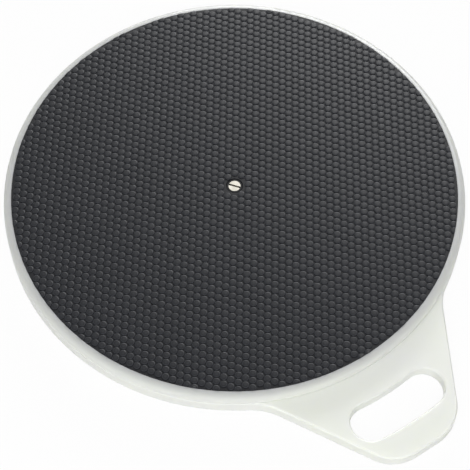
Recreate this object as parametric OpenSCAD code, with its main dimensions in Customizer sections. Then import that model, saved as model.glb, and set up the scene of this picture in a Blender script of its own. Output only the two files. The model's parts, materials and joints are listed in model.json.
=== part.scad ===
// Pivot disc: a turning plate that runs on a ball race over a base plate with a carrying tab.
// The pivot axis is Z, the floor is z = 0 and the tab points along -Y, towards the person who carries it.

/* [Plates] */
// Diameter of both plates
disc_d = 400; // [360:5:480]
// Thickness of the base plate and its tab
base_t = 14; // [14:0.5:20]
// Thickness of the turning plate
top_t = 9.8; // [9.4:0.2:14]
// Gap that the balls hold open between the plates
disc_gap = 0.3; // [0.2:0.1:1]
// Round-over of the turning plate's upper edge
top_round = 6; // [3:0.5:7]
// Chamfer of the plates' other outer edges
edge_chamfer = 1.2; // [0.6:0.2:2]

/* [Carrying tab] */
// How far the tab reaches past the edge of the plates
tab_out = 80.5; // [72:0.5:110]
// Width of the tab's end, between its two sides carried on to the end line
tab_end_w = 63.4; // [58:2:80]
// Slope of each side away from the tab's centre line, in degrees
tab_slope = 29.7; // [28:0.1:32]
// Radius of the tab's two corners
tab_corner = 34.5; // [20:0.5:36]
// Radius that blends the tab's sides into the round edge
tab_fillet = 56; // [30:1:70]
// Bar of plate left between the hand slot and the tab's end
grip_bar = 23.5; // [18:0.5:28]
// Width of the hand slot
slot_w = 33; // [26:1:36]
// Length of the hand slot along its arc, over its round ends
slot_len = 87; // [76:1:92]
// Rounding of the hand slot's edges
slot_round = 2; // [1:0.5:3]

/* [Grip mats] */
// Width of bare plate round the upper mat
top_rim = 7.1; // [6.5:0.2:14]
// Overall thickness of the upper mat, with its pebbles
top_mat_t = 3; // [2.4:0.2:4]
// Height of the pebbles above the mat's sheet
pebble_h = 0.8; // [0.4:0.1:1.2]
// Width of a pebble at its foot
pebble_w = 5.4; // [3.6:0.2:6]
// Distance between two pebbles of a row. A real mat has three for each one that is modelled
pebble_pitch = 21.3; // [18:0.3:30]
// Distance between two rows of pebbles. A real mat has three for each one that is modelled
pebble_row = 15.6; // [15:0.3:24]
// Width of bare plate round the mat under the base
base_rim = 12; // [8:1:30]
// Overall thickness of the mat under the base, with its pebbles
base_mat_t = 3; // [2.6:0.2:4]
// Depth of the recess that holds it
base_mat_recess = 1.5; // [1:0.1:2]
// Gap between a mat's edge and the side of its recess
mat_fit = 0.1; // [0.05:0.05:0.5]

/* [Ball race] */
// Diameter of a ball
ball_d = 6; // [5:0.25:7]
// Number of balls
ball_count = 24; // [12:1:24]
// Distance from the plates' edge in to the middle of the balls
race_inset = 50; // [40:1:90]
// Width of a race ring
race_w = 16; // [14:0.5:20]
// Thickness of a race ring
race_t = 2; // [1.4:0.1:2.6]
// Depth of the track rolled into a race ring
race_track = 0.6; // [0.2:0.1:0.9]
// Play of a ball in its tracks
ball_play = 0.05; // [0.02:0.01:0.1]
// Width of the cage
cage_w = 13; // [10:0.5:13.5]
// Thickness of the cage
cage_t = 3; // [2:0.2:3.4]
// Play of a ball in its pocket
pocket_play = 0.15; // [0.08:0.01:0.3]
// Gap between a race ring, or the bush's flange, and the sides of its seat
seat_fit = 0.1; // [0.05:0.05:0.3]

/* [Pivot] */
// Diameter of the pivot screw's thread
screw_d = 6; // [5:0.5:6]
// Diameter of the pivot screw's head
head_d = 10.3; // [9.6:0.1:12]
// Width of the driver slot
driver_slot_w = 1.6; // [1:0.1:2]
// Depth of the driver slot
driver_slot_deep = 1.6; // [1:0.1:1.8]
// Direction that the driver slot stands at, in degrees
driver_slot_turn = -52; // [-90:1:90]
// Depth of the screw's head under the turning plate's rim
head_sink = 0.4; // [0.2:0.1:0.8]
// Length of thread that shows under the nut
screw_tail = 0.4; // [0:0.1:1]
// Gap between the screw's end and the mat underneath
screw_gap = 0.2; // [0.1:0.1:0.8]
// Outer diameter of the bush's sleeve
bush_d = 12; // [10:0.5:13]
// Diameter of the bush's flange
flange_d = 24; // [20:0.5:30]
// Thickness of the bush's flange
flange_t = 1.5; // [1:0.1:2]
// Running clearance round the bush's sleeve
bush_fit = 0.05; // [0.02:0.01:0.1]
// Diameter of the cup washer's collar in the mat's hole
collar_d = 13.4; // [13:0.2:15]
// Gap round the collar in the mat's hole
collar_gap = 0.5; // [0.3:0.1:1]
// Thickness of the cup washer's hidden rim
cup_rim_t = 1.5; // [1:0.1:1.6]
// Thickness of each slip washer
slip_t = 0.8; // [0.5:0.1:1]
// End play of the turning plate between its slip washers
end_play = 0.2; // [0.1:0.05:0.4]
// Clearance round the screw's shank and the washers
bolt_fit = 0.2; // [0.1:0.05:0.4]
// Clearance between the screw and the nut, where the thread would be
thread_fit = 0.05; // [0.02:0.01:0.1]
// Outer diameter of the base washer
washer_d = 18; // [16:0.5:20]
// Thickness of the base washer
washer_t = 1.6; // [1:0.1:1.8]
// Width across the nut's flats
nut_af = 10; // [9:0.5:11]
// Height of the nut's hexagon
nut_hex_t = 4.5; // [4:0.25:5]
// Height of the nut's round collar, which holds the nylon ring
nut_collar_t = 1.5; // [1:0.1:1.6]
// Wall of the nut's collar
nut_collar_wall = 0.8; // [0.5:0.1:1]

/* [Hidden] */
$fn = 96;
EPS = 0.01;
OVER = 1;

// Cuts run on past their ends, in mm or degrees, and arcs stand proud of the lines they touch by a hair
CUT_ON = 5;
TURN_ON = 1;
PROUD = 0.05;

// Where the tab's root ends under the round plate, and two small steps
ROOT_R = 0.9;
COLLAR_STEP = 0.2;
SPIGOT_STEP = 0.2;

disc_r = disc_d / 2;
ball_r = ball_d / 2;

// Levels, from the floor up
base_z0 = base_mat_t - base_mat_recess;
base_z1 = base_z0 + base_t;
top_z0 = base_z1 + disc_gap;
top_z1 = top_z0 + top_t;
top_mat_recess = top_mat_t - pebble_h;
top_mat_z0 = top_z1 - top_mat_recess;
ball_z = (base_z1 + top_z0) / 2;
track_low = ball_z - ball_r - ball_play;
track_high = ball_z + ball_r + ball_play;
lower_race_z0 = track_low + race_track - race_t;
upper_race_z1 = track_high - race_track + race_t;

// Levels of the pivot
head_z = top_z1 - head_sink;
cup_z1 = top_mat_z0 - end_play;
cup_z0 = cup_z1 - cup_rim_t;
slip_floor = cup_z0 - end_play - slip_t;
slip_ceiling = base_z1 + slip_t + end_play;
flange_z0 = base_z1 - flange_t;
screw_z0 = base_mat_t + screw_gap;
nut_z0 = screw_z0 + screw_tail;
nut_hex_z0 = nut_z0 + nut_collar_t;
washer_z0 = nut_hex_z0 + nut_hex_t;
web_z0 = washer_z0 + washer_t;
spigot_z0 = web_z0 + SPIGOT_STEP;

// Radii
top_mat_r = disc_r - top_rim;
base_mat_r = disc_r - base_rim;
race_r = disc_r - race_inset;
bolt_hole_r = screw_d / 2 + bolt_fit;
mat_hole_r = collar_d / 2 + collar_gap;
nut_pocket_r = washer_d / 2 + bolt_fit;
thread_r = screw_d / 2 + thread_fit;
collar_r = nut_af / 2 - COLLAR_STEP;
insert_r = collar_r - nut_collar_wall;

// The tab is drawn with x across it and its centre line along -y
tab_end = disc_r + tab_out;
slot_r = tab_end - grip_bar - slot_w / 2;
slot_half_turn = (slot_len - slot_w) / 2 / slot_r * 180 / PI;
side_normal = [cos(tab_slope), -sin(tab_slope)];
side_along = [-sin(tab_slope), -cos(tab_slope)];
side_off = tab_end_w / 2 * cos(tab_slope) + tab_end * sin(tab_slope);
corner_y = -(tab_end - tab_corner);
corner_x = (side_off - tab_corner + corner_y * sin(tab_slope)) / cos(tab_slope);
fillet_reach = sqrt(pow(disc_r + tab_fillet, 2) - pow(side_off + tab_fillet, 2));
fillet_c = (side_off + tab_fillet) * side_normal + fillet_reach * side_along;
fillet_turn = atan2(fillet_c[1], fillet_c[0]);
fillet_on_disc = disc_r * [cos(fillet_turn), sin(fillet_turn)];
fillet_on_side = fillet_c - tab_fillet * side_normal;
side_end = [corner_x, corner_y] + tab_corner * side_normal;
side_run = norm(side_end - fillet_on_side);

// The tab's outline with square corners, carried in under the round plate
function other_side(p) = [-p[0], p[1]];
TAB_SIDE = [
    fillet_on_disc * ROOT_R, fillet_on_disc, fillet_c, fillet_on_side, side_end, [corner_x, -tab_end]
];
TAB_OUTLINE = concat(TAB_SIDE, [for (i = [len(TAB_SIDE) - 1:-1:0]) other_side(TAB_SIDE[i])]);

SINGLE_NODES = [
    "base_disc", "base_grip_mat", "top_disc", "top_grip_mat",
    "lower_race_ring", "upper_race_ring", "ball_cage",
    "pivot_bush", "lower_slip_washer", "upper_slip_washer", "cup_washer",
    "pivot_screw", "base_washer", "lock_nut", "lock_nut_insert"
];
function ball_name(i) = str("ball_", i < 10 ? "0" : "", i);

WHITE = [0.90, 0.91, 0.88];
RUBBER = [0.16, 0.16, 0.18];
STEEL = [0.72, 0.72, 0.70];
BRASS = [0.78, 0.62, 0.32];
NYLON = [0.86, 0.84, 0.76];

// A ring about Z, of rectangular section
module ring(r_in, r_out, z0, z1) {
    translate([0, 0, z0]) difference() {
        cylinder(h = z1 - z0, r = r_out);
        translate([0, 0, -OVER]) cylinder(h = z1 - z0 + 2 * OVER, r = r_in);
    }
}

// What a rounded edge takes off: x runs outwards from an edge at x = 0, and the plate's face is y = 0
module round_waste(round) {
    difference() {
        translate([-round, -round]) square(round + OVER);
        translate([-round, -round]) circle(r = round);
    }
}

// The same for a chamfered edge
module chamfer_waste() {
    far = edge_chamfer + OVER;
    polygon([[-far, OVER], [OVER, OVER], [OVER, -far]]);
}

// Repeats such a cut at the lower face of the base plate, and puts the first at its upper face
module both_faces() {
    translate([0, base_t]) children();
    mirror([0, 1]) children();
}

// The two halves of anything that is alike on both sides of the tab
module both_sides() {
    children();
    mirror([1, 0, 0]) children();
}

// Chamfers the base plate's outer edge along an arc
module chamfer_arc(r, from, to) {
    rotate([0, 0, from]) rotate_extrude(angle = to - from) translate([r, 0])
        both_faces() chamfer_waste();
}

// Chamfers a straight run of that edge, which goes from the origin towards -Y. Where the edge turns
// away inwards at an end, the cut may run on past it
module chamfer_run(run, before = 0, after = 0) {
    translate([0, before, 0]) rotate([90, 0, 0])
        linear_extrude(run + before + after) both_faces() chamfer_waste();
}

// The round cut that leaves a fillet between the round plate and the tab, with its own chamfers
module fillet_cut() {
    r = tab_fillet + PROUD;
    rotate_extrude() {
        translate([0, -OVER]) square([r, base_t + 2 * OVER]);
        translate([r, 0]) mirror([1, 0]) both_faces() chamfer_waste();
    }
}

// A cut through the plate with edges rounded for the hand, from its middle at x = 0 out to its wall
module half_slot_section() {
    translate([0, -OVER]) square([slot_w / 2, base_t + 2 * OVER]);
    translate([slot_w / 2, 0]) mirror([1, 0]) both_faces() round_waste(slot_round);
}

// Each half is an arc about the pivot and a round end, and the two meet in one and the same section
module hand_slot() {
    both_sides() rotate([0, 0, -90 - slot_half_turn]) {
        rotate_extrude(angle = slot_half_turn + TURN_ON) translate([slot_r, 0]) {
            half_slot_section();
            mirror([1, 0]) half_slot_section();
        }
        translate([slot_r, 0, 0]) mirror([0, 1, 0]) rotate_extrude(angle = 180) half_slot_section();
    }
}

// The base plate before its edges are chamfered: a round plate, the tab and the tab's two corners
module base_blank() {
    difference() {
        union() {
            cylinder(h = base_t, r = disc_r);
            linear_extrude(base_t) polygon(TAB_OUTLINE);
            both_sides() translate([corner_x, corner_y]) cylinder(h = base_t, r = tab_corner + PROUD);
        }
        both_sides() translate(fillet_c) fillet_cut();
        hand_slot();
    }
}

module base_chamfers() {
    chamfer_arc(disc_r, fillet_turn, 180 - fillet_turn);
    both_sides() {
        translate(fillet_on_side) rotate([0, 0, -tab_slope]) chamfer_run(side_run, after = CUT_ON);
        translate([corner_x, corner_y]) chamfer_arc(tab_corner + PROUD, -90, -tab_slope);
    }
    translate([corner_x, -tab_end]) rotate([0, 0, -90])
        chamfer_run(2 * corner_x, before = CUT_ON, after = CUT_ON);
}

module base_disc() {
    color(WHITE) difference() {
        translate([0, 0, base_z0]) difference() {
            base_blank();
            base_chamfers();
        }
        // Recess for the mat underneath
        translate([0, 0, base_z0 - OVER]) cylinder(h = base_mat_recess + OVER, r = base_mat_r + mat_fit);
        // Channel for the lower race ring
        ring(race_r - race_w / 2 - seat_fit, race_r + race_w / 2 + seat_fit, lower_race_z0, base_z1 + OVER);
        // Seat for the bush's flange, hole for its spigot, and pocket for the nut
        translate([0, 0, flange_z0]) cylinder(h = flange_t + OVER, r = flange_d / 2 + seat_fit);
        translate([0, 0, web_z0 - OVER]) cylinder(h = base_t, r = bush_d / 2 + bush_fit);
        cylinder(h = web_z0, r = nut_pocket_r);
    }
}

module top_disc() {
    color(WHITE) difference() {
        translate([0, 0, top_z0]) difference() {
            cylinder(h = top_t, r = disc_r);
            rotate_extrude() translate([disc_r, top_t]) round_waste(top_round);
            rotate_extrude() translate([disc_r, 0]) mirror([0, 1]) chamfer_waste();
        }
        // Recess for the mat
        translate([0, 0, top_mat_z0]) cylinder(h = top_mat_recess + OVER, r = top_mat_r + mat_fit);
        // Channel for the upper race ring
        ring(race_r - race_w / 2 - seat_fit, race_r + race_w / 2 + seat_fit, top_z0 - OVER, upper_race_z1);
        // Seats for the slip washers, and the bore that turns on the bush
        translate([0, 0, slip_floor]) cylinder(h = top_t, r = flange_d / 2 + bolt_fit);
        translate([0, 0, top_z0 - OVER])
            cylinder(h = slip_ceiling - top_z0 + OVER, r = flange_d / 2 + bolt_fit);
        translate([0, 0, top_z0]) cylinder(h = top_t, r = bush_d / 2 + bush_fit);
    }
}

// The sheet carries pebbles all over its upper face, so its solid stands as high as they do
// Rows of pebbles between two distances from the axis, every other row moved by half a step
module pebbles(nearest, furthest) {
    rows = ceil(furthest / pebble_row);
    steps = ceil(furthest / pebble_pitch);
    for (row = [-rows:rows], step = [-steps:steps]) {
        spot = [(step + abs(row) % 2 / 2) * pebble_pitch, row * pebble_row, -PROUD];
        from_axis = norm([spot[0], spot[1]]);
        if (from_axis >= nearest && from_axis <= furthest)
            translate(spot) cylinder(h = pebble_h + PROUD, r1 = pebble_w / 2, r2 = pebble_w / 2 - pebble_h);
    }
}

module top_grip_mat() {
    color(RUBBER) translate([0, 0, top_mat_z0]) {
        difference() {
            cylinder(h = top_mat_recess, r = top_mat_r);
            translate([0, 0, -OVER]) cylinder(h = top_mat_recess + 2 * OVER, r = mat_hole_r);
        }
        translate([0, 0, top_mat_recess]) pebbles(mat_hole_r + pebble_w, top_mat_r - pebble_w);
    }
}

module base_grip_mat() {
    color(RUBBER) translate([0, 0, pebble_h]) {
        cylinder(h = base_mat_t - pebble_h, r = base_mat_r);
        mirror([0, 0, 1]) pebbles(0, base_mat_r - pebble_w);
    }
}

// The path of the balls, from which both race rings take their track
module ball_path() {
    translate([0, 0, ball_z]) rotate_extrude() translate([race_r, 0]) circle(r = ball_r + ball_play);
}

module race_ring(z0) {
    color(STEEL) difference() {
        ring(race_r - race_w / 2, race_r + race_w / 2, z0, z0 + race_t);
        ball_path();
    }
}

module at_ball(i) {
    rotate([0, 0, i * 360 / ball_count]) translate([race_r, 0, ball_z]) children();
}

module ball(i) {
    color(STEEL) at_ball(i) sphere(d = ball_d);
}

// The pockets are round inside, so that the cage hangs on the balls
module ball_cage() {
    color(NYLON) difference() {
        ring(race_r - cage_w / 2, race_r + cage_w / 2, ball_z - cage_t / 2, ball_z + cage_t / 2);
        for (i = [1:ball_count]) at_ball(i) sphere(r = ball_r + pocket_play);
    }
}

// A flange on the base plate, a sleeve that the turning plate runs on, and a spigot in the web
module pivot_bush() {
    color(BRASS) difference() {
        union() {
            translate([0, 0, flange_z0]) cylinder(h = flange_t, r = flange_d / 2);
            translate([0, 0, spigot_z0]) cylinder(h = cup_z0 - spigot_z0, r = bush_d / 2);
        }
        translate([0, 0, web_z0 - OVER]) cylinder(h = cup_z0 - web_z0 + 2 * OVER, r = bolt_hole_r);
    }
}

module lower_slip_washer() {
    color(NYLON) ring(bush_d / 2 + bolt_fit, flange_d / 2, base_z1, base_z1 + slip_t);
}

module upper_slip_washer() {
    color(NYLON) ring(bush_d / 2 + bolt_fit, flange_d / 2, slip_floor, slip_floor + slip_t);
}

// The cone of the screw's head, which the cup washer repeats with a little clearance
module head_cone(gap) {
    deep = (head_d - screw_d) / 2;
    translate([0, 0, head_z - deep]) cylinder(h = deep, r1 = screw_d / 2 + gap, r2 = head_d / 2 + gap);
}

// A hidden rim that holds the turning plate down, and a collar that stands in the mat's hole
module cup_washer() {
    color(RUBBER) difference() {
        union() {
            translate([0, 0, cup_z0]) cylinder(h = cup_rim_t, r = flange_d / 2);
            translate([0, 0, cup_z0]) cylinder(h = head_z - cup_z0, r = collar_d / 2);
        }
        translate([0, 0, cup_z0 - OVER]) cylinder(h = head_z - cup_z0 + 2 * OVER, r = bolt_hole_r);
        head_cone(EPS);
    }
}

module pivot_screw() {
    color(STEEL) difference() {
        union() {
            head_cone(0);
            translate([0, 0, screw_z0]) cylinder(h = head_z - EPS - screw_z0, r = screw_d / 2);
        }
        rotate([0, 0, driver_slot_turn])
            translate([-head_d, -driver_slot_w / 2, head_z - driver_slot_deep])
                cube([2 * head_d, driver_slot_w, driver_slot_deep + OVER]);
    }
}

module base_washer() {
    color(STEEL) ring(bolt_hole_r, washer_d / 2, washer_z0, web_z0);
}

// The thread is drawn as a plain bore with a fine clearance round the screw
module lock_nut() {
    nut_h = nut_collar_t + nut_hex_t;
    color(STEEL) difference() {
        union() {
            translate([0, 0, nut_hex_z0]) cylinder(h = nut_hex_t, d = nut_af / cos(30), $fn = 6);
            translate([0, 0, nut_z0]) cylinder(h = nut_collar_t + EPS, r = collar_r);
        }
        translate([0, 0, nut_z0 - OVER]) cylinder(h = nut_h + 2 * OVER, r = thread_r);
        translate([0, 0, nut_z0 - OVER]) cylinder(h = nut_collar_t + OVER, r = insert_r);
    }
}

module lock_nut_insert() {
    color(NYLON) ring(thread_r, insert_r, nut_z0 + COLLAR_STEP, nut_hex_z0);
}

base_disc();
base_grip_mat();
top_disc();
top_grip_mat();
race_ring(lower_race_z0);  // lower_race_ring
race_ring(upper_race_z1 - race_t);  // upper_race_ring
ball_cage();
pivot_bush();
lower_slip_washer();
upper_slip_washer();
cup_washer();
pivot_screw();
base_washer();
lock_nut();
lock_nut_insert();
for (i = [1:ball_count]) ball(i);
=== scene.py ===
# %% [markdown]
# A pivot disc, dressed for its photograph
#
# A pivot disc helps someone who can stand but can't step round: they stand on the black mat and are turned.
# Two round plates of white polyethylene lie on each other with a ring of steel balls between them. The lower
# plate carries on into a tab with a slot for the hand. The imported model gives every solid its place. This
# script swaps the two rubber mats for mats with every pebble on them, gives each piece its finish, and sets
# up the camera, the lamps and the floor.

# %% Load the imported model
import json
import math

import bpy
from mathutils import Matrix, Vector


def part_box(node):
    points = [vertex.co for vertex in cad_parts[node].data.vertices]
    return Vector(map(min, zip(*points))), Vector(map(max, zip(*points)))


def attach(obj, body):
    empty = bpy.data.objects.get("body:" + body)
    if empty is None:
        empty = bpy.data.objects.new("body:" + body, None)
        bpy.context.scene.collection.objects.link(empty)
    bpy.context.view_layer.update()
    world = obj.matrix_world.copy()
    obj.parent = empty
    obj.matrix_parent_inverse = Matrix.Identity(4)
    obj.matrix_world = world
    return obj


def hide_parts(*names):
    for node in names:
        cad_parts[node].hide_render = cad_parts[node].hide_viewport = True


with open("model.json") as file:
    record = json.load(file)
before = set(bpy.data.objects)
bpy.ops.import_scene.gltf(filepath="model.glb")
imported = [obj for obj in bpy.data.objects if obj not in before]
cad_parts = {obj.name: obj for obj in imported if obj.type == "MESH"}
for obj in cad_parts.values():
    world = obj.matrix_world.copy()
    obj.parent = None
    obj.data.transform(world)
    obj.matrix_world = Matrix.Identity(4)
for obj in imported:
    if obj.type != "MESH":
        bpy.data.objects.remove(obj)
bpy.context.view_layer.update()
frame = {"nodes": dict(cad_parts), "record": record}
NODES = frame["nodes"]
MM = 0.001

# %% [markdown]
# The camera
#
# The photograph's camera was solved from the edge of the mat and the outline of the two white plates. It
# stands 1.28 m from the disc's middle, 58.7 degrees above the plate, with a long lens. Its lengths count in
# radii of the mat, in a frame that has the camera straight in front, so the last step turns them to the
# tab's place.

# %% Place the camera
MAT_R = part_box("top_grip_mat")[1].x
RIM_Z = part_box("top_disc")[1].z
TAB_TURN = math.radians(-33.32)


def photo_point(x, y, z):
    """A point of the photograph's own frame, in metres over the plate's rim, as a point of the model."""
    return Matrix.Rotation(TAB_TURN, 3, "Z") @ Vector((x, y, z)) + Vector((0, 0, RIM_Z))


def add_camera(distance, elevation, aim, roll, focal_px, side_px=470):
    """Points a camera at aim and turns it by roll. The sensor is square in use, as the picture is."""
    eye = photo_point(0, -distance * math.cos(elevation), distance * math.sin(elevation))
    back = (eye - photo_point(*aim)).normalized()
    right = Vector((0, 0, 1)).cross(back).normalized()
    up = back.cross(right)
    rolled_right = math.cos(roll) * right + math.sin(roll) * up
    rolled_up = math.cos(roll) * up - math.sin(roll) * right
    turn = Matrix((rolled_right, rolled_up, back)).transposed().to_4x4()
    data = bpy.data.cameras.new("photo_camera")
    data.sensor_width = 36
    data.lens = focal_px / side_px * data.sensor_width
    data.clip_start = 0.01
    data.clip_end = 50
    camera = bpy.data.objects.new("photo_camera", data)
    bpy.context.scene.collection.objects.link(camera)
    camera.matrix_world = Matrix.Translation(eye) @ turn
    bpy.context.scene.camera = camera
    return camera


camera = add_camera(
    distance=6.6413 * MAT_R,
    elevation=math.radians(58.6895),
    aim=(0.0016 * MAT_R, -0.2542 * MAT_R, 0),
    roll=math.radians(-0.105),
    focal_px=1479.35,
)
print("camera at", [round(v, 3) for v in camera.location], "lens", round(camera.data.lens, 2), "mm")

# %% [markdown]
# Small helpers for node trees
#
# A tree is easier to read when each node is made in one line, with its plain values given by socket name and
# its links given as sockets. These helpers do both, for materials, for groups and for Geometry Nodes alike.

# %% Helpers for node trees


def feed(tree, socket, value):
    """Gives a socket its value. A value that is another node's output becomes a link."""
    if isinstance(value, bpy.types.NodeSocket):
        tree.links.new(value, socket)
    else:
        socket.default_value = value


def add_node(tree, kind, values=None, **settings):
    made = tree.nodes.new(kind)
    for name, value in settings.items():
        setattr(made, name, value)
    for name, value in (values or {}).items():
        feed(tree, made.inputs[name], value)
    return made


def math_node(tree, operation, a, b=0.0):
    return add_node(tree, "ShaderNodeMath", {0: a, 1: b}, operation=operation).outputs[0]


def spread(tree, value, low, high, to_low=0.0, to_high=1.0):
    """Stretches a value from one span to another, and holds it at the ends."""
    made = add_node(
        tree,
        "ShaderNodeMapRange",
        {"Value": value, "From Min": low, "From Max": high, "To Min": to_low, "To Max": to_high},
    )
    return made.outputs[0]


def axis_distance(tree, place):
    """How far a place is from the disc's axis."""
    flat = add_node(tree, "ShaderNodeVectorMath", {0: place, 1: (1, 1, 0)}, operation="MULTIPLY").outputs[0]
    return add_node(tree, "ShaderNodeVectorMath", {0: flat}, operation="LENGTH").outputs["Value"]


# %% Helpers for colours and groups
FLOAT = "NodeSocketFloat"
COLOUR = "NodeSocketColor"


def rgb(red, green, blue):
    return (red, green, blue, 1.0)


def mix_colour(tree, factor, a, b):
    made = add_node(tree, "ShaderNodeMix", {0: factor}, data_type="RGBA")
    feed(tree, made.inputs[6], a)
    feed(tree, made.inputs[7], b)
    return made.outputs[2]


def object_place(tree):
    return add_node(tree, "ShaderNodeTexCoord").outputs["Object"]


def new_group(name, inputs, output, kind):
    """A shader group with one output. Returns the tree, its inputs' sockets and its output's socket."""
    tree = bpy.data.node_groups.new(name, "ShaderNodeTree")
    for label, input_kind, *default in inputs:
        socket = tree.interface.new_socket(label, in_out="INPUT", socket_type=input_kind)
        if default:
            socket.default_value = default[0]
    tree.interface.new_socket(output, in_out="OUTPUT", socket_type=kind)
    return tree, tree.nodes.new("NodeGroupInput").outputs, tree.nodes.new("NodeGroupOutput").inputs[0]


def use_group(tree, group, values):
    """Places a group in a tree with its own values, and returns what it puts out."""
    made = tree.nodes.new("ShaderNodeGroup")
    made.node_tree = group
    for name, value in values.items():
        feed(tree, made.inputs[name], value)
    return made.outputs[0]


# %% [markdown]
# Effects that several finishes share
#
# Four things happen to nearly every surface here. Its tone drifts a little from place to place. It has a fine
# grain. It collects hairline scuffs, and what came off a lathe keeps faint rings. Each is one group, with its
# size as a named input, so that board, rubber and steel can use it at their own scale.

# %% Shared effect: drifting tone
drifting_tone, given, put_out = new_group(
    "drifting tone",
    [("Colour", COLOUR), ("Other Colour", COLOUR), ("Scale", FLOAT, 20.0)],
    "Colour",
    COLOUR,
)
cloud = add_node(
    drifting_tone,
    "ShaderNodeTexNoise",
    {"Vector": object_place(drifting_tone), "Scale": given["Scale"], "Detail": 4.0, "Roughness": 0.55},
).outputs[0]
other_share = spread(drifting_tone, cloud, 0.32, 0.68)
drifted = mix_colour(drifting_tone, other_share, given["Colour"], given["Other Colour"])
drifting_tone.links.new(drifted, put_out)

# %% Shared effect: fine grain
fine_grain, given, put_out = new_group("fine grain", [("Scale", FLOAT, 900.0)], "Height", FLOAT)
specks = add_node(
    fine_grain,
    "ShaderNodeTexNoise",
    {"Vector": object_place(fine_grain), "Scale": given["Scale"], "Detail": 2.0, "Roughness": 0.6},
).outputs[0]
fine_grain.links.new(specks, put_out)

# %% [markdown]
# Hairline scuffs
#
# A scuff is a noise that is stretched until it is far longer than it is wide, and cut off so high that only
# thin streaks are left. Three such layers lie at different angles, and a coarse noise leaves some patches
# nearly free of them.

# %% Shared effect: hairline scuffs
STREAK_STRETCH = (9, 420, 60)
STREAK_LAYERS = ((0.35, 0.0), (1.7, 3.1), (2.6, 7.7))

hairline_scuffs, given, put_out = new_group("hairline scuffs", [("Scale", FLOAT, 1.0)], "Mask", FLOAT)
place = object_place(hairline_scuffs)
hairs = 0.0
for turn, shift in STREAK_LAYERS:
    laid = add_node(
        hairline_scuffs,
        "ShaderNodeMapping",
        {"Vector": place, "Location": (shift, shift, 0), "Rotation": (0, 0, turn), "Scale": STREAK_STRETCH},
    ).outputs[0]
    sized = add_node(
        hairline_scuffs, "ShaderNodeVectorMath", {0: laid, 3: given["Scale"]}, operation="SCALE"
    ).outputs[0]
    streak = add_node(
        hairline_scuffs, "ShaderNodeTexNoise", {"Vector": sized, "Scale": 1.0, "Detail": 1.0}
    ).outputs[0]
    hairs = math_node(hairline_scuffs, "MAXIMUM", hairs, spread(hairline_scuffs, streak, 0.66, 0.74))
patches = add_node(
    hairline_scuffs, "ShaderNodeTexNoise", {"Vector": place, "Scale": 14.0, "Detail": 2.0}
).outputs[0]
patchy = math_node(hairline_scuffs, "MULTIPLY", hairs, spread(hairline_scuffs, patches, 0.35, 0.65))
hairline_scuffs.links.new(patchy, put_out)

# %% Shared effect: rings from the lathe
lathe_rings, given, put_out = new_group("lathe rings", [("Spacing", FLOAT, 0.4 * MM)], "Height", FLOAT)
place = object_place(lathe_rings)
turns = math_node(lathe_rings, "DIVIDE", axis_distance(lathe_rings, place), given["Spacing"])
wave = math_node(lathe_rings, "SINE", math_node(lathe_rings, "MULTIPLY", turns, 2 * math.pi))
uneven = add_node(lathe_rings, "ShaderNodeTexNoise", {"Vector": place, "Scale": 300.0}).outputs[0]
lathe_rings.links.new(math_node(lathe_rings, "MULTIPLY", wave, uneven), put_out)
print("shared effects:", [group.name for group in bpy.data.node_groups])

# %% [markdown]
# Finishes
#
# Each finish is one Principled shader. Values that hold for the whole surface sit on its own sockets. What
# varies comes in through the groups: tone into Base Color, scuffs into Roughness, and grain into a Bump node.

# %% Helpers for a finish


def new_finish(name, **sockets):
    """A material with a Principled shader. Returns the material, its tree and the shader."""
    material = bpy.data.materials.new(name)
    material.use_nodes = True
    tree = material.node_tree
    shader = tree.nodes["Principled BSDF"]
    for label, value in sockets.items():
        shader.inputs[label.replace("_", " ")].default_value = value
    return material, tree, shader


def add_tone(tree, colour, other, scale):
    """The finish's own colour, which drifts towards the other one. Returns its socket."""
    values = {"Colour": rgb(*colour), "Other Colour": rgb(*other), "Scale": scale}
    return use_group(tree, drifting_tone, values)


def add_scuffs(tree, shader, scale, smooth, scuffed):
    """Sets Roughness to smooth, and to scuffed inside a scuff. Returns the scuffs' mask."""
    scuffs = use_group(tree, hairline_scuffs, {"Scale": scale})
    tree.links.new(spread(tree, scuffs, 0.0, 1.0, smooth, scuffed), shader.inputs["Roughness"])
    return scuffs


def add_bump(tree, shader, height, depth):
    """Turns a height into a normal. depth is in metres, the height of a step from 0 to 1."""
    bump = add_node(tree, "ShaderNodeBump", {"Height": height, "Distance": depth, "Strength": 1.0})
    tree.links.new(bump.outputs[0], shader.inputs["Normal"])


# %% [markdown]
# White polyethylene board
#
# The plates are natural-white polyethylene: a waxy, slightly greenish white that light enters, so the shader
# has some subsurface scattering. Beside the black mat, the top of the turning plate is painted greyer. This
# is painted shade, for the shade and the dark reflection of the mat along the mat's edge. The painted shade
# is full at the mat, weaker at the plate's edge, and fades out down the plate's side, so the lower plate and
# its tab keep their white.

# %% The white board
PAINTED_SHADE_REACH = 6.5 * MM
PAINTED_SHADE_AT_EDGE = 0.45
PAINTED_SHADE_FROM_Z = RIM_Z - 7 * MM
PAINTED_SHADE_FULL_Z = RIM_Z - 1 * MM
SCUFF_CUT = 0.6

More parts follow.
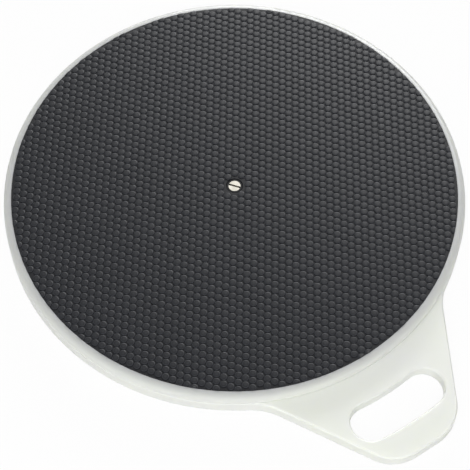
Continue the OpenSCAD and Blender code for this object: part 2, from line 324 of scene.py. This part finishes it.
white_board, tree, shader = new_finish(
    "white polyethylene",
    Subsurface_Weight=0.6,
    Subsurface_Radius=(1.0, 1.0, 0.85),
    Subsurface_Scale=8 * MM,
)
place = object_place(tree)
height = add_node(tree, "ShaderNodeSeparateXYZ", {0: place}).outputs["Z"]
# Painted shade: near the mat the plate's colour is mixed towards grey, less so towards its edge and fading
# down its side.
shade_beside_mat = spread(tree, axis_distance(tree, place), MAT_R, MAT_R + PAINTED_SHADE_REACH, 1.0, PAINTED_SHADE_AT_EDGE)
painted_shade = math_node(tree, "MULTIPLY", shade_beside_mat, spread(tree, height, PAINTED_SHADE_FROM_Z, PAINTED_SHADE_FULL_Z))
tone = add_tone(tree, (0.825, 0.845, 0.785), (0.81, 0.82, 0.79), 9.0)
# The grey that the painted shade mixes in.
tone = mix_colour(tree, painted_shade, tone, rgb(0.49, 0.50, 0.495))
tree.links.new(tone, shader.inputs["Base Color"])
scuffs = add_scuffs(tree, shader, 1.0, smooth=0.42, scuffed=0.56)
grain = use_group(tree, fine_grain, {"Scale": 420.0})
cut_grain = math_node(tree, "SUBTRACT", grain, math_node(tree, "MULTIPLY", scuffs, SCUFF_CUT))
add_bump(tree, shader, cut_grain, 0.03 * MM)

# %% [markdown]
# Black rubber
#
# The rubber is deep black between the pebbles. The pebbles' raised rings are greyer and shine a little:
# feet polish them, and the grey is also painted sheen. The mats carry a number for this: near 1 on a pebble's
# raised ring, about a third in the hollow in its middle, and 0 on the sheet between the pebbles. The material
# reads it.

# %% The rubber
WEAR_AND_SHEEN_SPAN = (0.55, 0.90)
SHINE_SPAN = (0.3, 0.9)

mat_rubber, tree, shader = new_finish("black rubber", Specular_IOR_Level=0.17)
wear_and_sheen = add_node(tree, "ShaderNodeAttribute", attribute_name="wear_and_sheen").outputs["Fac"]
tone = add_tone(tree, (0.0045, 0.005, 0.0065), (0.007, 0.0075, 0.0095), 30.0)
# Partly wear, partly painted sheen: the raised rings are mixed towards this grey.
tone = mix_colour(tree, spread(tree, wear_and_sheen, *WEAR_AND_SHEEN_SPAN), tone, rgb(0.045, 0.048, 0.056))
tree.links.new(tone, shader.inputs["Base Color"])
tree.links.new(spread(tree, wear_and_sheen, *SHINE_SPAN, 0.56, 0.34), shader.inputs["Roughness"])
add_bump(tree, shader, use_group(tree, fine_grain, {"Scale": 1600.0}), 0.05 * MM)

# %% [markdown]
# Metals
#
# The screw is dull nickel plate with a warm cast. The race rings are plain steel, the washer and the nut are
# zinc plated, the balls are polished, and the bush is brass. They differ in colour, roughness and the spacing
# of their lathe rings, so one recipe makes them all.

# %% The metals


def metal(name, colour, other, roughness, spacing, depth, scuffed=0.12):
    """spacing is the distance between two lathe rings, depth their height, and scuffed what a scuff adds."""
    material, tree, shader = new_finish(name, Metallic=1.0)
    tree.links.new(add_tone(tree, colour, other, 160.0), shader.inputs["Base Color"])
    add_scuffs(tree, shader, 4.0, roughness, roughness + scuffed)
    add_bump(tree, shader, use_group(tree, lathe_rings, {"Spacing": spacing}), depth)
    return material


FINISH = {
    "white_plate": white_board,
    "mat_rubber": mat_rubber,
    "screw_nickel": metal(
        "nickel plate", (0.36, 0.345, 0.31), (0.24, 0.23, 0.20), 0.58, spacing=0.5 * MM, depth=0.006 * MM
    ),
    "race_steel": metal(
        "race steel", (0.62, 0.62, 0.61), (0.54, 0.54, 0.54), 0.30, spacing=0.4 * MM, depth=0.008 * MM
    ),
    "ball_steel": metal(
        "ball steel",
        (0.76, 0.76, 0.77),
        (0.70, 0.70, 0.72),
        0.08,
        spacing=0.3 * MM,
        depth=0.001 * MM,
        scuffed=0.05,
    ),
    "zinc_steel": metal(
        "zinc plate", (0.66, 0.68, 0.71), (0.56, 0.60, 0.66), 0.36, spacing=0.5 * MM, depth=0.006 * MM
    ),
    "bush_brass": metal(
        "turned brass", (0.75, 0.56, 0.26), (0.66, 0.48, 0.20), 0.28, spacing=0.35 * MM, depth=0.01 * MM
    ),
}

# %% [markdown]
# Small mouldings
#
# The cage, the slip washers, the cup washer and the nut's ring are plastics. They share one recipe: a
# drifting tone, a fine grain from the mould and a few scuffs.

# %% The small mouldings


def moulding(name, colour, other, roughness, **sockets):
    material, tree, shader = new_finish(name, **sockets)
    tree.links.new(add_tone(tree, colour, other, 60.0), shader.inputs["Base Color"])
    add_scuffs(tree, shader, 3.0, roughness, roughness + 0.15)
    add_bump(tree, shader, use_group(tree, fine_grain, {"Scale": 700.0}), 0.02 * MM)
    return material


FINISH["cage_nylon"] = moulding("cage nylon", (0.76, 0.74, 0.64), (0.70, 0.67, 0.56), 0.45)
FINISH["slip_nylon"] = moulding("slip washer nylon", (0.82, 0.81, 0.74), (0.76, 0.74, 0.66), 0.35)
FINISH["cup_black"] = moulding(
    "black acetal", (0.006, 0.006, 0.007), (0.012, 0.012, 0.013), 0.45, Specular_IOR_Level=0.12
)
FINISH["insert_nylon"] = moulding("blue nylon", (0.08, 0.20, 0.52), (0.06, 0.15, 0.42), 0.40)
print("finishes:", sorted(FINISH))

# %% Put the finishes on the solids
for row in frame["record"]["subparts"]:
    solid = NODES[row["node"]]
    for slot in solid.material_slots:
        slot.material = FINISH[row["material_slot"]]

# %% [markdown]
# The pebbled mats
#
# Both mats are rubber sheet with rows of round pebbles, 7.1 mm apart in a row and 5.2 mm from row to row, and
# every other row is shifted by half a step. The rows lie square to the tab. Three thousand pebbles are work
# for Geometry Nodes: a grid of points, every other row moved, the points outside the mat deleted, and one low
# button on each point. The sheet was cut from a larger one, so a pebble on the edge is cut through too: its
# points that lie outside are drawn in to the edge.

# %% A sheet of rubber, turned from its section


def turned_mesh(name, section, steps=192):
    """Turns a closed section of (radius, height) points about Z. A point at radius 0 becomes one vertex."""
    points, rings = [], []
    for radius, z in section:
        if radius == 0:
            rings.append([len(points)] * steps)
            points.append((0, 0, z))
        else:
            rings.append(list(range(len(points), len(points) + steps)))
            for i in range(steps):
                angle = 2 * math.pi * i / steps
                points.append((radius * math.cos(angle), radius * math.sin(angle), z))
    faces = []
    for here, there in zip(rings, rings[1:] + rings[:1]):
        for i in range(steps):
            j = (i + 1) % steps
            corners = [here[i], here[j], there[j], there[i]]
            corners = [c for n, c in enumerate(corners) if c != corners[n - 1]]
            if len(corners) > 2:
                faces.append(corners)
    mesh = bpy.data.meshes.new(name)
    mesh.from_pydata(points, [], faces)
    mesh.update()
    return mesh


# %% [markdown]
# Where the pebbles stand
#
# The mesh grid is square and centred on the disc's axis. A row's number is its distance from the axis in row
# gaps, and a row whose number is odd moves by half the pitch. What then lies outside the mat, or in the hole
# round the cup washer, is deleted.

# %% The points of the pebbles
EDGE_MARGIN = 0.3 * MM


def pebble_points(tree, given):
    last_step = math_node(tree, "SUBTRACT", given["Steps"], 1.0)
    grid = add_node(
        tree,
        "GeometryNodeMeshGrid",
        {
            "Size X": math_node(tree, "MULTIPLY", last_step, given["Pitch"]),
            "Size Y": math_node(tree, "MULTIPLY", last_step, given["Row Gap"]),
            "Vertices X": given["Steps"],
            "Vertices Y": given["Steps"],
        },
    ).outputs["Mesh"]
    place = add_node(tree, "GeometryNodeInputPosition").outputs[0]
    from_axis = add_node(tree, "ShaderNodeSeparateXYZ", {0: place}).outputs["Y"]
    row = math_node(tree, "ROUND", math_node(tree, "DIVIDE", from_axis, given["Row Gap"]))
    odd = math_node(tree, "FLOORED_MODULO", row, 2.0)
    shift = math_node(tree, "MULTIPLY", odd, math_node(tree, "MULTIPLY", given["Pitch"], 0.5))
    offset = add_node(tree, "ShaderNodeCombineXYZ", {"X": shift, "Z": given["Sheet Face"]}).outputs[0]
    rows = add_node(tree, "GeometryNodeSetPosition", {"Geometry": grid, "Offset": offset}).outputs[0]

    radius = axis_distance(tree, add_node(tree, "GeometryNodeInputPosition").outputs[0])
    furthest = math_node(tree, "SUBTRACT", given["Outer Radius"], EDGE_MARGIN)
    nearest = math_node(tree, "ADD", given["Hole Radius"], EDGE_MARGIN)
    outside = math_node(tree, "GREATER_THAN", radius, furthest)
    in_hole = math_node(tree, "LESS_THAN", radius, nearest)
    gone = math_node(tree, "MAXIMUM", outside, in_hole)
    return add_node(
        tree, "GeometryNodeDeleteGeometry", {"Geometry": rows, "Selection": gone}, domain="POINT"
    ).outputs[0]


# %% [markdown]
# The shape of a pebble
#
# A cone of three segments gives a pebble only a few dozen faces. rise is a point's height on the cone, from 0
# at the foot to 1 at the tip. The points move out to reach, which stays near 1 for most of the way up, and
# their new height is crown less dimple: a steep side, a raised ring, and a hollow in the middle of the top.
# That height is stored as an attribute for the rubber, which paints the raised ring greyer with it: partly
# wear, partly painted sheen.

# %% One pebble
SIDE_POWER = 2.66
CROWN_POWER = 20.0
DIMPLE_POWER = 6.0
DIMPLE_DEPTH = 0.65
TINY = 0.0001


def one_pebble(tree, given):
    cone = add_node(
        tree,
        "GeometryNodeMeshCone",
        {
            "Vertices": 10,
            "Side Segments": 3,
            "Radius Top": 0.0,
            "Radius Bottom": math_node(tree, "MULTIPLY", given["Pebble Width"], 0.5),
            "Depth": given["Pebble Height"],
        },
    ).outputs["Mesh"]
    place = add_node(tree, "GeometryNodeInputPosition").outputs[0]
    parts = add_node(tree, "ShaderNodeSeparateXYZ", {0: place}).outputs
    rise = math_node(tree, "DIVIDE", parts["Z"], given["Pebble Height"])
    reach = math_node(tree, "SUBTRACT", 1.0, math_node(tree, "POWER", rise, SIDE_POWER))
    on_cone = math_node(tree, "MAXIMUM", math_node(tree, "SUBTRACT", 1.0, rise), TINY)
    stretch = math_node(tree, "DIVIDE", reach, on_cone)
    side = math_node(tree, "POWER", math_node(tree, "MAXIMUM", reach, 0.0), CROWN_POWER)
    crown = math_node(tree, "SUBTRACT", 1.0, side)
    dimple = math_node(tree, "MULTIPLY", math_node(tree, "POWER", rise, DIMPLE_POWER), DIMPLE_DEPTH)
    lift = math_node(tree, "SUBTRACT", crown, dimple)
    shaped = add_node(
        tree,
        "ShaderNodeCombineXYZ",
        {
            "X": math_node(tree, "MULTIPLY", parts["X"], stretch),
            "Y": math_node(tree, "MULTIPLY", parts["Y"], stretch),
            "Z": math_node(tree, "MULTIPLY", lift, given["Pebble Height"]),
        },
    ).outputs[0]
    button = add_node(tree, "GeometryNodeSetPosition", {"Geometry": cone, "Position": shaped}).outputs[0]
    # The height, stored for the rubber's grey rings: partly wear, partly painted sheen.
    wear_and_sheen = add_node(
        tree,
        "GeometryNodeStoreNamedAttribute",
        {"Geometry": button, "Name": "wear_and_sheen", "Value": lift},
        data_type="FLOAT",
        domain="POINT",
    ).outputs[0]
    return add_node(tree, "GeometryNodeSetShadeSmooth", {"Geometry": wear_and_sheen, "Shade Smooth": True}).outputs[0]


# %% A mesh held inside the mat's edges


def held_inside(tree, mesh, given):
    """Draws each point that overhangs in to the mat's outer edge, or out to the edge of its hole."""
    place = add_node(tree, "GeometryNodeInputPosition").outputs[0]
    radius = math_node(tree, "MAXIMUM", axis_distance(tree, place), TINY)
    held = math_node(tree, "MINIMUM", radius, given["Outer Radius"])
    held = math_node(tree, "MAXIMUM", held, given["Hole Radius"])
    pull = math_node(tree, "DIVIDE", held, radius)
    pulls = add_node(tree, "ShaderNodeCombineXYZ", {"X": pull, "Y": pull, "Z": 1.0}).outputs[0]
    pulled = add_node(tree, "ShaderNodeVectorMath", {0: place, 1: pulls}, operation="MULTIPLY").outputs[0]
    return add_node(tree, "GeometryNodeSetPosition", {"Geometry": mesh, "Position": pulled}).outputs[0]


# %% The tree that grows pebbles on a sheet
PEBBLE_INPUTS = {
    "Sheet": "NodeSocketGeometry",
    "Pitch": FLOAT,
    "Row Gap": FLOAT,
    "Outer Radius": FLOAT,
    "Hole Radius": FLOAT,
    "Sheet Face": FLOAT,
    "Pebble Width": FLOAT,
    "Pebble Height": FLOAT,
    "Steps": "NodeSocketInt",
    "Finish": "NodeSocketMaterial",
}


def pebble_tree():
    """A pebble on each point, made real, held inside the edges, joined to the sheet, and given the rubber."""
    tree = bpy.data.node_groups.new("pebbles on a sheet", "GeometryNodeTree")
    for label, kind in PEBBLE_INPUTS.items():
        tree.interface.new_socket(label, in_out="INPUT", socket_type=kind)
    tree.interface.new_socket("Mat", in_out="OUTPUT", socket_type="NodeSocketGeometry")
    given = tree.nodes.new("NodeGroupInput").outputs
    copies = add_node(
        tree,
        "GeometryNodeInstanceOnPoints",
        {"Points": pebble_points(tree, given), "Instance": one_pebble(tree, given)},
    ).outputs[0]
    real = add_node(tree, "GeometryNodeRealizeInstances", {"Geometry": copies}).outputs[0]
    joined = add_node(tree, "GeometryNodeJoinGeometry")
    tree.links.new(given["Sheet"], joined.inputs[0])
    tree.links.new(held_inside(tree, real, given), joined.inputs[0])
    done = add_node(
        tree, "GeometryNodeSetMaterial", {"Geometry": joined.outputs[0], "Material": given["Finish"]}
    ).outputs[0]
    tree.links.new(done, tree.nodes.new("NodeGroupOutput").inputs[0])
    return tree


grow_pebbles = pebble_tree()
print("pebble tree:", len(grow_pebbles.nodes), "nodes")

# %% [markdown]
# Growing the mats
#
# Each mat takes its outline and its height from the CAD mat that it stands in for. A modifier's input is set
# by its socket's identifier. The result becomes a plain mesh, and the modifier is dropped, before the piece
# rides on its body. The mat under the base is made face up and then turned over.

# %% Helpers for the mats
PEBBLE = {
    "Pitch": 7.1 * MM,
    "Row Gap": 5.2 * MM,
    "Pebble Width": 6.2 * MM,
    "Pebble Height": 0.8 * MM,
    "Steps": 81,
    "Finish": mat_rubber,
}


def set_input(modifier, label, value):
    for item in modifier.node_group.interface.items_tree:
        if item.item_type == "SOCKET" and item.in_out == "INPUT" and item.name == label:
            modifier[item.identifier] = value
            return
    raise KeyError(label)


def bake_mesh(piece):
    """Replaces a piece's mesh by what its modifiers make of it, and drops the modifiers."""
    evaluated = piece.evaluated_get(bpy.context.evaluated_depsgraph_get())
    mesh = bpy.data.meshes.new_from_object(evaluated)
    piece.modifiers.clear()
    piece.data = mesh


# %% Grow the two mats
COLLAR_HOLE_R = 7.2 * MM
SHEET_BEVEL = 0.15 * MM


def sheet_section(outer, hole, back, face):
    """Half of the sheet's section, with bevelled edges. A sheet without a hole closes at the axis."""
    bevel = SHEET_BEVEL
    section = [(hole, back), (outer - bevel, back), (outer, back + bevel)]
    section += [(outer, face - bevel), (outer - bevel, face)]
    section += [(hole + bevel, face), (hole, face - bevel)] if hole else [(0, face)]
    return section


def pebbled_mat(name, node, hole, faces_down):
    """A mat in the space of the CAD mat. One that faces down is made face up and then turned over."""
    low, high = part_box(node)
    outer = high.x
    back, top = (-high.z, -low.z) if faces_down else (low.z, high.z)
    face = top - PEBBLE["Pebble Height"]
    piece = bpy.data.objects.new(name, turned_mesh(name, sheet_section(outer, hole, back, face)))
    bpy.context.scene.collection.objects.link(piece)
    modifier = piece.modifiers.new("pebbles", "NODES")
    modifier.node_group = grow_pebbles
    values = dict(PEBBLE)
    values["Sheet Face"] = face
    values["Outer Radius"] = outer - SHEET_BEVEL
    values["Hole Radius"] = hole + SHEET_BEVEL if hole else 0.0
    for label, value in values.items():
        set_input(modifier, label, value)
    bpy.context.view_layer.update()
    bake_mesh(piece)
    if faces_down:
        piece.data.transform(Matrix.Rotation(math.pi, 4, "Y"))
    return piece


for node, body, hole in (("top_grip_mat", "turntable", COLLAR_HOLE_R), ("base_grip_mat", "base", 0)):
    mat = pebbled_mat("pebbled_" + node, node, hole, faces_down=body == "base")
    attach(mat, body)
    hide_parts(node)
    mat.data.calc_loop_triangles()
    print(mat.name, len(mat.data.loop_triangles), "triangles")

# %% [markdown]
# Lamps
#
# The photograph was taken in soft light on white, and then cut out. Two wide lamps in front light the whites.
# They are kept out of reflections, so they put no gloss on the pebbles. The strong lamp behind the disc shows
# only in reflections, and makes the sheen on the rubber. The weaker one behind, lower down, does both.

# %% Light the disc


def soft_lamp(name, place, width, height, power, **seen_by):
    """A rectangular lamp that faces the disc's middle. Its place is in metres of the photograph's frame."""
    data = bpy.data.lights.new(name, "AREA")
    data.shape = "RECTANGLE"
    data.size = width
    data.size_y = height
    data.energy = power
    lamp = bpy.data.objects.new(name, data)
    bpy.context.scene.collection.objects.link(lamp)
    eye = photo_point(*place)
    facing = (eye - photo_point(0, 0, 0)).to_track_quat("Z", "Y")
    lamp.matrix_world = Matrix.Translation(eye) @ facing.to_matrix().to_4x4()
    for setting, shown in seen_by.items():
        setattr(lamp, setting, shown)
    return lamp


lamps = [
    soft_lamp("key_lamp", (-0.05, -1.1, 1.35), width=1.8, height=1.2, power=21.5, visible_glossy=False),
    soft_lamp("front_lamp", (0.0, -2.2, 0.9), width=2.0, height=1.2, power=8.0, visible_glossy=False),
    soft_lamp("sheen_lamp", (0.5, 1.55, 1.15), width=1.2, height=0.7, power=52.0, visible_diffuse=False),
    soft_lamp("back_lamp", (0.1, 1.8, 0.6), width=1.2, height=0.5, power=24.0),
]
print("lamps:", [lamp.name for lamp in lamps])

# %% [markdown]
# Backdrop and floor
#
# Backdrop and floor are full white only to the camera and in reflections. To the light on its way to the disc
# the backdrop is a weak fill, and the floor is plain white paint. A small share of that paint shows to the
# camera as well, and carries a faint shadow. From below the floor is clear, so the underside can be seen.

# %% Backdrop
FILL = 0.24


def seen_directly(tree):
    """1 for what the camera sees straight, in a reflection or through glass, and 0 for light on its way."""
    path = tree.nodes.new("ShaderNodeLightPath").outputs
    shown = math_node(tree, "MAXIMUM", path["Is Camera Ray"], path["Is Glossy Ray"])
    return math_node(tree, "MAXIMUM", shown, path["Is Transmission Ray"])


world = bpy.data.worlds.new("white backdrop")
bpy.context.scene.world = world
world.use_nodes = True
tree = world.node_tree
sky = tree.nodes["Background"]
sky.inputs["Color"].default_value = rgb(1, 1, 1)
tree.links.new(spread(tree, seen_directly(tree), 0, 1, FILL, 1.0), sky.inputs["Strength"])

# %% The floor's paint
WHITE_SHARE = 0.95

floor_paint = bpy.data.materials.new("white floor")
floor_paint.use_nodes = True
tree = floor_paint.node_tree
tree.nodes.clear()
paint = add_node(tree, "ShaderNodeBsdfDiffuse", {"Color": rgb(0.86, 0.86, 0.86)}).outputs[0]
white = add_node(tree, "ShaderNodeEmission", {"Color": rgb(1, 1, 1), "Strength": 1.0}).outputs[0]
share = math_node(tree, "MULTIPLY", seen_directly(tree), WHITE_SHARE)
mixed = add_node(tree, "ShaderNodeMixShader", {0: share, 1: paint, 2: white}).outputs[0]
from_below = add_node(tree, "ShaderNodeNewGeometry").outputs["Backfacing"]
clear = add_node(tree, "ShaderNodeBsdfTransparent").outputs[0]
one_sided = add_node(tree, "ShaderNodeMixShader", {0: from_below, 1: mixed, 2: clear}).outputs[0]
tree.links.new(one_sided, tree.nodes.new("ShaderNodeOutputMaterial").inputs[0])

# %% The floor
FLOOR_HALF = 4.0

corners = [(x * FLOOR_HALF, y * FLOOR_HALF, 0) for x, y in ((-1, -1), (1, -1), (1, 1), (-1, 1))]
floor_mesh = bpy.data.meshes.new("floor")
floor_mesh.from_pydata(corners, [], [(0, 1, 2, 3)])
floor_mesh.materials.append(floor_paint)
floor = bpy.data.objects.new("floor", floor_mesh)
bpy.context.scene.collection.objects.link(floor)
bpy.context.scene.view_settings.view_transform = "Standard"
print("floor:", 2 * FLOOR_HALF, "m square, fill", FILL)
